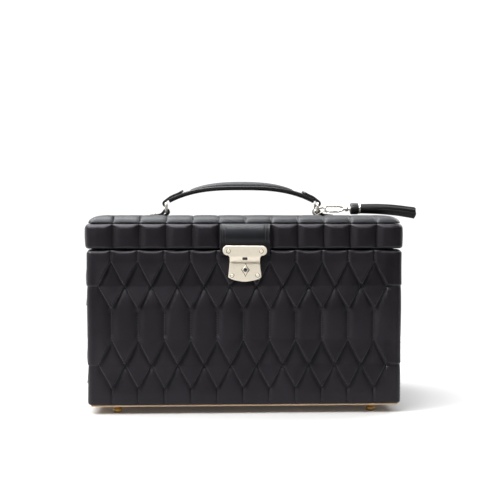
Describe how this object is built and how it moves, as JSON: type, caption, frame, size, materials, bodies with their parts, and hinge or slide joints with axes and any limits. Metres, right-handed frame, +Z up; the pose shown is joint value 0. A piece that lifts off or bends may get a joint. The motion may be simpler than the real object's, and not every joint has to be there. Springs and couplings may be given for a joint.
{
  "type": "jewellery case",
  "caption": "Leather jewellery case: quilted body and padded lid, strap handle on rings, hasp lock, tassel, mirror and lift-out trays inside.",
  "frame": {"origin": "centre of the footprint, tassel included, on the plane the feet stand on", "axes": "+X to the case's right seen from the front (the tassel's side), +Y to the back (hinges), +Z up"},
  "size_m": [0.361, 0.2164, 0.246],
  "materials": {
    "quilted_leather": "satin, quilted over padding",
    "smooth_leather": "satin",
    "pale_gold": "polished pale gold plating",
    "steel": "brushed",
    "wood": "raw board, hidden",
    "tan_base": "matt",
    "suede": "matt suede",
    "mirror": "polished"
  },
  "bodies": {
    "case": {"body_carcass": "wood", "base_panel": "tan_base", "body_lining": "suede", "front_quilt": "quilted_leather", "back_quilt": "quilted_leather", "left_quilt": "quilted_leather", "right_quilt": "quilted_leather", "foot_front_left": "pale_gold", "foot_front_right": "pale_gold", "foot_back_left": "pale_gold", "foot_back_right": "pale_gold", "hinge_body_leaf_left": "pale_gold", "hinge_body_leaf_right": "pale_gold", "hinge_pin_left": "pale_gold", "hinge_pin_right": "pale_gold", "lock_case": "steel", "lock_plate": "pale_gold", "lock_rivet_left": "pale_gold", "lock_rivet_right": "pale_gold", "well_insert": "suede", "watch_cushion": "suede"},
    "lid": {"lid_carcass": "wood", "lid_lining": "suede", "lid_front_quilt": "quilted_leather", "lid_back_quilt": "quilted_leather", "lid_left_quilt": "quilted_leather", "lid_right_quilt": "quilted_leather", "lid_top_pad": "quilted_leather", "mirror_frame": "smooth_leather", "mirror_glass": "mirror", "lock_tab": "smooth_leather", "hinge_lid_leaf_left": "pale_gold", "hinge_lid_leaf_right": "pale_gold", "chape_left": "smooth_leather", "chape_right": "smooth_leather", "chape_screw_left": "pale_gold", "chape_screw_right": "pale_gold"},
    "hasp": {"hasp_flap": "smooth_leather", "hasp_plate": "pale_gold", "hasp_rivet_left": "pale_gold", "hasp_rivet_right": "pale_gold"},
    "cylinder": {"key_cylinder": "steel", "lock_cam": "steel"},
    "ring_left": {"handle_ring_left": "pale_gold"},
    "ring_right": {"handle_ring_right": "pale_gold"},
    "handle": {"handle_end_left": "smooth_leather", "handle_end_right": "smooth_leather", "handle_strap": "smooth_leather", "handle_grip": "smooth_leather"},
    "tassel": {"clasp_hook": "pale_gold", "tassel_cap": "smooth_leather", "tassel_band": "pale_gold", "tassel_fringe": "smooth_leather"},
    "gate": {"clasp_gate": "pale_gold"},
    "tray_upper": {"upper_tray": "suede", "ring_roll_1": "suede", "ring_roll_2": "suede", "ring_roll_3": "suede", "ring_roll_4": "suede"},
    "tray_lower": {"lower_tray": "suede"}
  },
  "joints": [
    {"name": "lid_hinge", "type": "hinge", "parent": "case", "child": "lid", "pos_m": [0, 0.10597, 0.1735], "axis": [-1, 0, 0], "range_deg": [0, 100]},
    {"name": "hasp_flap_bend", "type": "hinge", "parent": "lid", "child": "hasp", "pos_m": [-0.0155, -0.10383, 0.1785], "axis": [-1, 0, 0], "range_deg": [0, 80]},
    {"name": "key_turn", "type": "hinge", "parent": "case", "child": "cylinder", "pos_m": [-0.0155, -0.10403, 0.152], "axis": [0, 1, 0], "range_deg": [0, 90]},
    {"name": "ring_left_swing", "type": "hinge", "parent": "lid", "child": "ring_left", "pos_m": [-0.1005, 0.00097, 0.2124], "axis": [0, -1, 0], "range_deg": [-25, 25]},
    {"name": "ring_right_swing", "type": "hinge", "parent": "lid", "child": "ring_right", "pos_m": [0.0695, 0.00097, 0.2124], "axis": [0, -1, 0], "range_deg": [-25, 25]},
    {"name": "handle_level", "type": "hinge", "parent": "ring_left", "child": "handle", "pos_m": [-0.1005, 0.00097, 0.222], "axis": [0, -1, 0], "range_deg": [-25, 25]},
    {"name": "tassel_lift", "type": "hinge", "parent": "lid", "child": "tassel", "pos_m": [0.0695, -0.00992, 0.2124], "axis": [0, -1, 0], "range_deg": [0, 35]},
    {"name": "clasp_gate_turn", "type": "hinge", "parent": "tassel", "child": "gate", "pos_m": [0.0767, -0.00992, 0.2186], "axis": [0, 1, 0], "range_deg": [0, 15]},
    {"name": "upper_tray_lift", "type": "slide", "parent": "case", "child": "tray_upper", "axis": [0, 0, 1], "range_m": [0, 0.08]},
    {"name": "lower_tray_lift", "type": "slide", "parent": "case", "child": "tray_lower", "axis": [0, 0, 1], "range_m": [0, 0.04]}
  ],
  "couplings": [
    {"joint": "ring_right_swing", "follows": "ring_left_swing", "ratio": 1},
    {"joint": "handle_level", "follows": "ring_left_swing", "ratio": -1},
    {"joint": "upper_tray_lift", "follows": "lid_hinge", "m_per_rad": 0.044},
    {"joint": "lower_tray_lift", "follows": "lid_hinge", "m_per_rad": 0.022}
  ]
}
